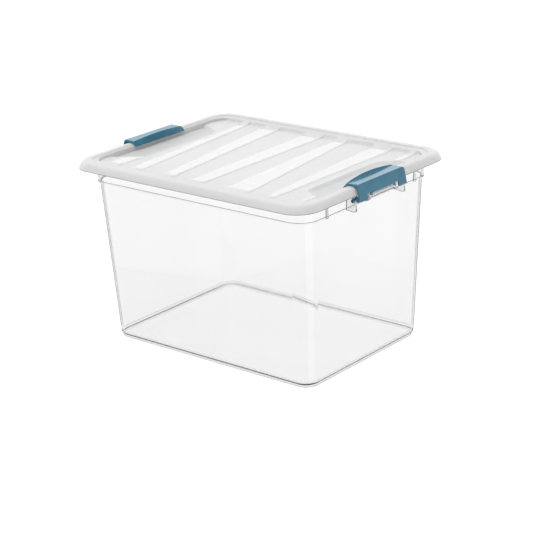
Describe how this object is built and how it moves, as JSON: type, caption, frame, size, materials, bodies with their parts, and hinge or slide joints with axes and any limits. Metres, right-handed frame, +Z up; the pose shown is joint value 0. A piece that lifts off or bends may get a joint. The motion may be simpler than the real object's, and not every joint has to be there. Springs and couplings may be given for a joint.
{
  "type": "storage box",
  "caption": "Tall clear plastic storage box with a lift-off ribbed lid, held down by a hinged clip at each short end.",
  "frame": {"origin": "on the floor, under the middle of the box", "axes": "+X along the long side towards one clip, +Y across the box, +Z up"},
  "size_m": [0.436, 0.332, 0.2772],
  "materials": {
    "clear_plastic": "clear, glossy",
    "frosted_plastic": "translucent, frosted with glossy stripes",
    "teal_plastic": "opaque, satin to glossy"
  },
  "bodies": {
    "tub": {"tub": "clear_plastic"},
    "lid": {"lid": "frosted_plastic"},
    "latch_right": {"latch_right": "teal_plastic"},
    "latch_left": {"latch_left": "teal_plastic"}
  },
  "joints": [
    {"name": "lid_lift", "type": "slide", "parent": "tub", "child": "lid", "axis": [0, 0, 1], "range_m": [0, 0.15]},
    {"name": "latch_right_turn", "type": "hinge", "parent": "tub", "child": "latch_right", "pos_m": [0.2075, 0, 0.252], "axis": [0, 1, 0], "range_deg": [0, 110]},
    {"name": "latch_left_turn", "type": "hinge", "parent": "tub", "child": "latch_left", "pos_m": [-0.2075, 0, 0.252], "axis": [0, -1, 0], "range_deg": [0, 110]}
  ]
}
